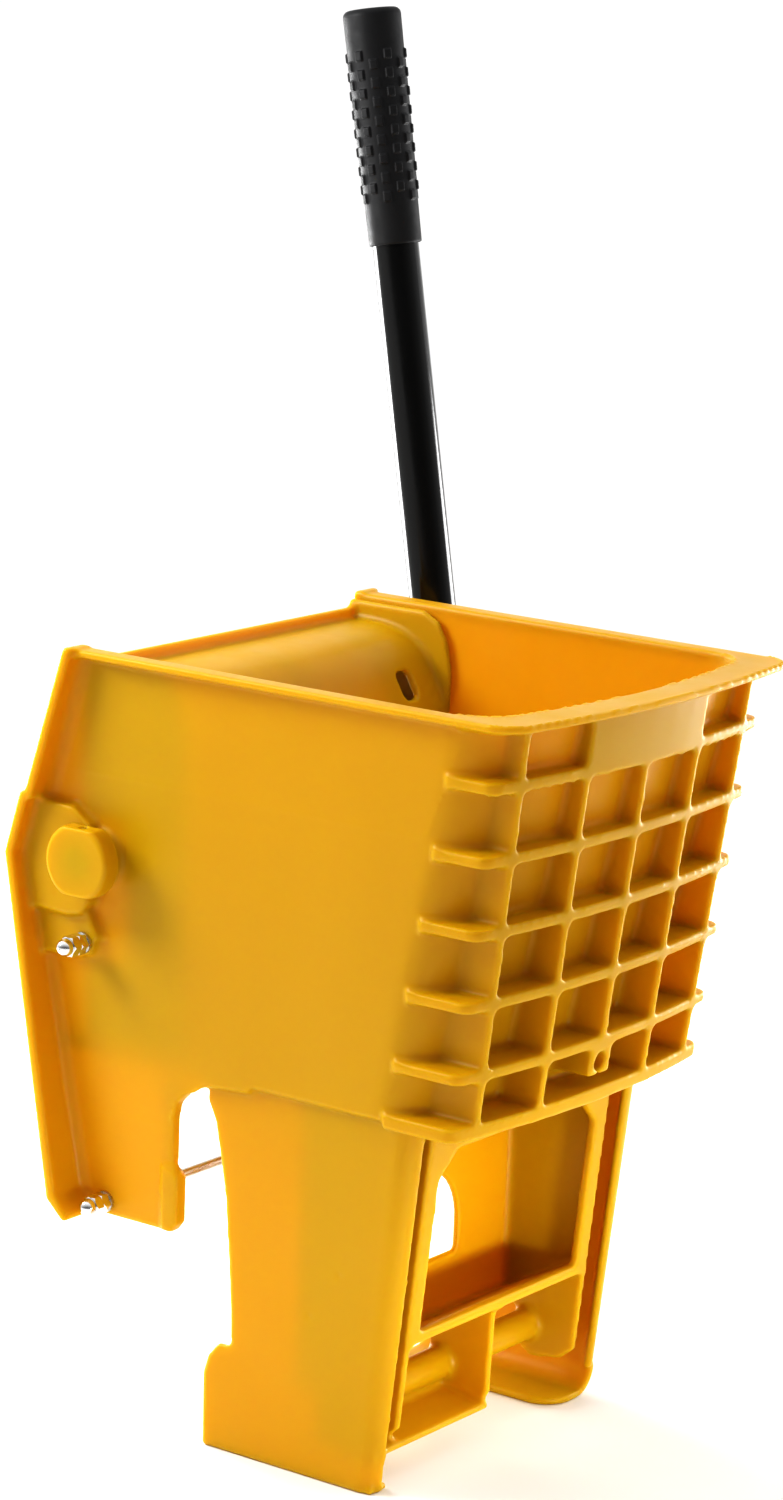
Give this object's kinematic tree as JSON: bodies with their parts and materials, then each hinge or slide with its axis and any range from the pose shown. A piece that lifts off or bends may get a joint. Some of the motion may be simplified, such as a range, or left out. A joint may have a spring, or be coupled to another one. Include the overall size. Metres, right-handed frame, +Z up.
{
  "type": "side-press mop wringer",
  "caption": "Yellow plastic side-press mop wringer with a ribbed grid front, a sliding press plate, a hollow leg and a black hand lever.",
  "frame": {"origin": "middle of the foot's underside, on the floor", "axes": "+X towards the grid front, +Y towards the lever side, +Z up"},
  "size_m": [0.3468, 0.3283, 0.7239],
  "materials": {
    "yellow_plastic": "satin moulded polypropylene",
    "white_nylon": "matte nylon",
    "zinc_steel": "zinc plated steel",
    "chrome": "polished nickel plate",
    "black_paint": "gloss black paint on steel tube",
    "black_rubber": "matte moulded rubber"
  },
  "bodies": {
    "frame": {"basket": "yellow_plastic", "bearing_bush_near": "white_nylon", "bearing_bush_far": "white_nylon", "upper_tie_rod": "zinc_steel", "lower_tie_rod": "zinc_steel", "rod_washers": "chrome", "rod_nuts": "chrome", "acorn_nuts": "chrome", "return_spring_near": "zinc_steel", "return_spring_far": "zinc_steel"},
    "press": {"press_plate": "yellow_plastic", "rack_near": "yellow_plastic", "rack_far": "yellow_plastic", "rack_screws": "zinc_steel"},
    "lever": {"cross_shaft": "zinc_steel", "sector_gear_near": "yellow_plastic", "sector_gear_far": "yellow_plastic", "gear_pins": "zinc_steel", "shaft_cap": "yellow_plastic", "cap_pin": "zinc_steel", "lever_socket": "yellow_plastic", "hub_pin": "zinc_steel", "handle_tube": "black_paint", "handle_grip": "black_rubber", "lever_bolt": "zinc_steel", "lever_nut": "zinc_steel"}
  },
  "joints": [
    {"name": "lever_pivot", "type": "hinge", "parent": "frame", "child": "lever", "pos_m": [-0.1215, 0, 0.303], "axis": [0, 1, 0], "range_deg": [0, 80], "stiffness_Nm_per_rad": 1.6, "springref_deg": -22.92},
    {"name": "press_slide", "type": "slide", "parent": "frame", "child": "press", "axis": [1, 0, 0], "range_m": [0, 0.0503], "deforming": ["return_spring_near", "return_spring_far"]}
  ],
  "couplings": [
    {"joint": "press_slide", "follows": "lever_pivot", "m_per_rad": 0.036}
  ]
}
